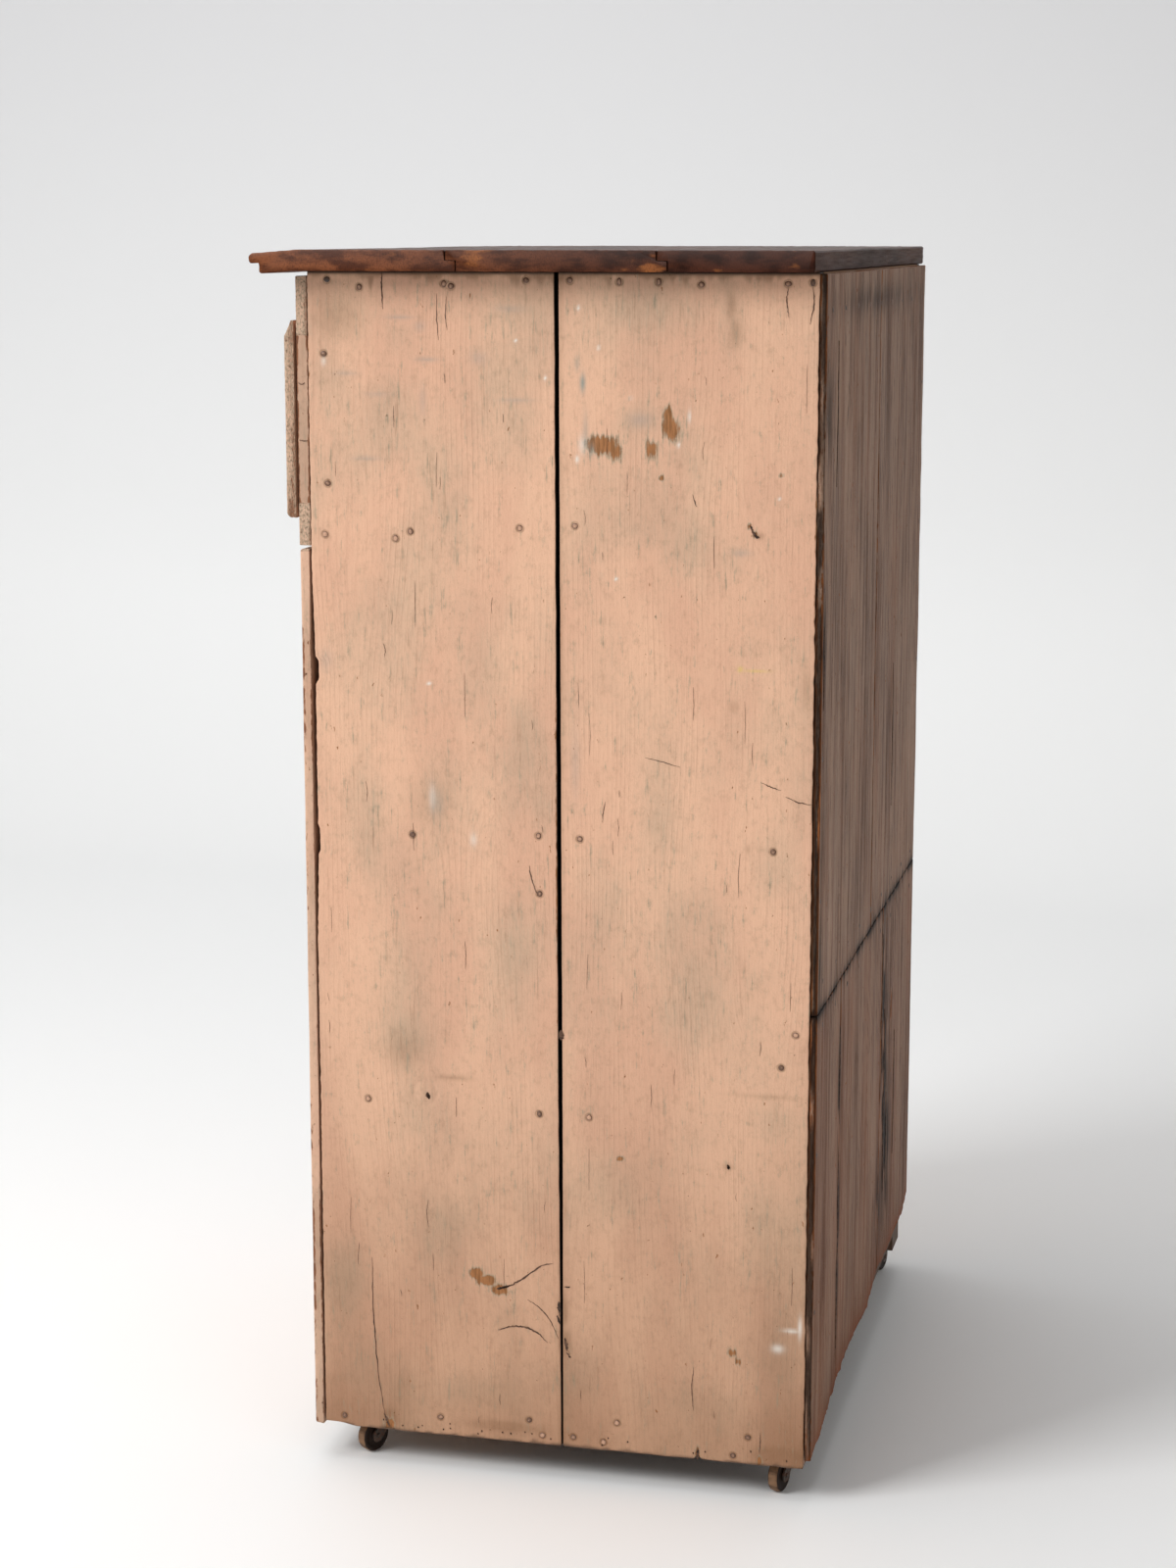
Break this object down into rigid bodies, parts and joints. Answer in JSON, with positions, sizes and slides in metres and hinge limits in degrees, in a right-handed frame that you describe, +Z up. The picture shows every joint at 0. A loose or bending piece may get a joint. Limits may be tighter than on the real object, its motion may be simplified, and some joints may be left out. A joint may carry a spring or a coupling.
{
  "type": "cupboard",
  "caption": "Tall narrow painted plank cupboard with one overlay drawer over one overlay door, shelves behind it, a lipped plank top and a swivel caster at each corner.",
  "frame": {"origin": "middle of the footprint on the floor, under the centre of the whole cupboard", "axes": "+Z up, -Y out of the front with the drawer and door, +X toward the pictured side"},
  "size_m": [0.68, 0.479, 1.065],
  "materials": {
    "brown_top": "dark stained pine, rubbed and dull",
    "peach_paint": "worn matt paint on pine",
    "grey_paint": "weathered thin paint on pine",
    "bare_pine": "old bare pine",
    "wheel_wood": "dark worn hardwood",
    "old_steel": "dull and rusty"
  },
  "bodies": {
    "carcass": {"back_lower_left_board": "grey_paint", "back_lower_middle_board": "grey_paint", "back_lower_right_board": "grey_paint", "back_rail_middle": "bare_pine", "back_rail_top": "bare_pine", "back_upper_left_board": "grey_paint", "back_upper_right_board": "grey_paint", "bottom_bearer": "bare_pine", "bottom_front_board": "bare_pine", "bottom_rear_board": "bare_pine", "caster_blocks": "bare_pine", "caster_sockets": "old_steel", "drawer_runner_left": "bare_pine", "drawer_runner_right": "bare_pine", "front_middle_rail": "peach_paint", "front_stile_left": "peach_paint", "front_stile_right": "peach_paint", "front_top_rail": "peach_paint", "hinge_pins": "old_steel", "hinge_side_leaves": "old_steel", "lower_shelf_front_board": "bare_pine", "lower_shelf_rear_board": "bare_pine", "side_left_front_board": "peach_paint", "side_left_rear_board": "peach_paint", "side_right_front_board": "peach_paint", "side_right_rear_board": "peach_paint", "top_cleats": "bare_pine", "top_front_board": "brown_top", "top_middle_board": "brown_top", "top_rear_board": "brown_top", "turn_button_screw": "old_steel", "upper_shelf_front_board": "bare_pine", "upper_shelf_rear_board": "bare_pine"},
    "drawer": {"drawer_front": "peach_paint", "drawer_box_front": "bare_pine", "drawer_side_right": "bare_pine", "drawer_side_left": "bare_pine", "drawer_back": "bare_pine", "drawer_bottom": "bare_pine", "drawer_knobs": "peach_paint"},
    "door": {"door_hinge_board": "peach_paint", "door_middle_board": "peach_paint", "door_latch_board": "peach_paint", "door_upper_batten": "bare_pine", "door_lower_batten": "bare_pine", "door_knob": "peach_paint", "hinge_door_leaves": "old_steel"},
    "turn_button": {"turn_button": "peach_paint"},
    "caster_front_right": {"caster_front_right_fork": "old_steel", "caster_front_right_axle": "old_steel"},
    "wheel_front_right": {"caster_front_right_wheel": "wheel_wood"},
    "caster_rear_right": {"caster_rear_right_fork": "old_steel", "caster_rear_right_axle": "old_steel"},
    "wheel_rear_right": {"caster_rear_right_wheel": "wheel_wood"},
    "caster_front_left": {"caster_front_left_fork": "old_steel", "caster_front_left_axle": "old_steel"},
    "wheel_front_left": {"caster_front_left_wheel": "wheel_wood"},
    "caster_rear_left": {"caster_rear_left_fork": "old_steel", "caster_rear_left_axle": "old_steel"},
    "wheel_rear_left": {"caster_rear_left_wheel": "wheel_wood"}
  },
  "joints": [
    {"name": "drawer_slide", "type": "slide", "parent": "carcass", "child": "drawer", "axis": [0, -1, 0], "range_m": [0, 0.33]},
    {"name": "door_swing", "type": "hinge", "parent": "carcass", "child": "door", "pos_m": [-0.3159, -0.19925, 0.426], "axis": [0, 0, -1], "range_deg": [0, 175]},
    {"name": "turn_button_turn", "type": "hinge", "parent": "carcass", "child": "turn_button", "pos_m": [0.193, -0.2134, 0.8295], "axis": [0, 1, 0], "range_deg": [0, 180]},
    {"name": "caster_front_right_swivel", "type": "hinge", "parent": "carcass", "child": "caster_front_right", "pos_m": [0.275, -0.1555, 0.031], "axis": [0, 0, 1], "continuous": true},
    {"name": "caster_front_right_roll", "type": "hinge", "parent": "caster_front_right", "child": "wheel_front_right", "pos_m": [0.28712, -0.1625, 0.015], "axis": [0.5, 0.866, 0], "continuous": true},
    {"name": "caster_rear_right_swivel", "type": "hinge", "parent": "carcass", "child": "caster_rear_right", "pos_m": [0.275, 0.2115, 0.031], "axis": [0, 0, 1], "continuous": true},
    {"name": "caster_rear_right_roll", "type": "hinge", "parent": "caster_rear_right", "child": "wheel_rear_right", "pos_m": [0.28858, 0.20811, 0.015], "axis": [0.2419, 0.9703, 0], "continuous": true},
    {"name": "caster_front_left_swivel", "type": "hinge", "parent": "carcass", "child": "caster_front_left", "pos_m": [-0.275, -0.1555, 0.031], "axis": [0, 0, 1], "continuous": true},
    {"name": "caster_front_left_roll", "type": "hinge", "parent": "caster_front_left", "child": "wheel_front_left", "pos_m": [-0.28769, -0.16142, 0.015], "axis": [0.4226, -0.9063, 0], "continuous": true},
    {"name": "caster_rear_left_swivel", "type": "hinge", "parent": "carcass", "child": "caster_rear_left", "pos_m": [-0.275, 0.2115, 0.031], "axis": [0, 0, 1], "continuous": true},
    {"name": "caster_rear_left_roll", "type": "hinge", "parent": "caster_rear_left", "child": "wheel_rear_left", "pos_m": [-0.28869, 0.21441, 0.015], "axis": [-0.2079, -0.9781, 0], "continuous": true}
  ]
}
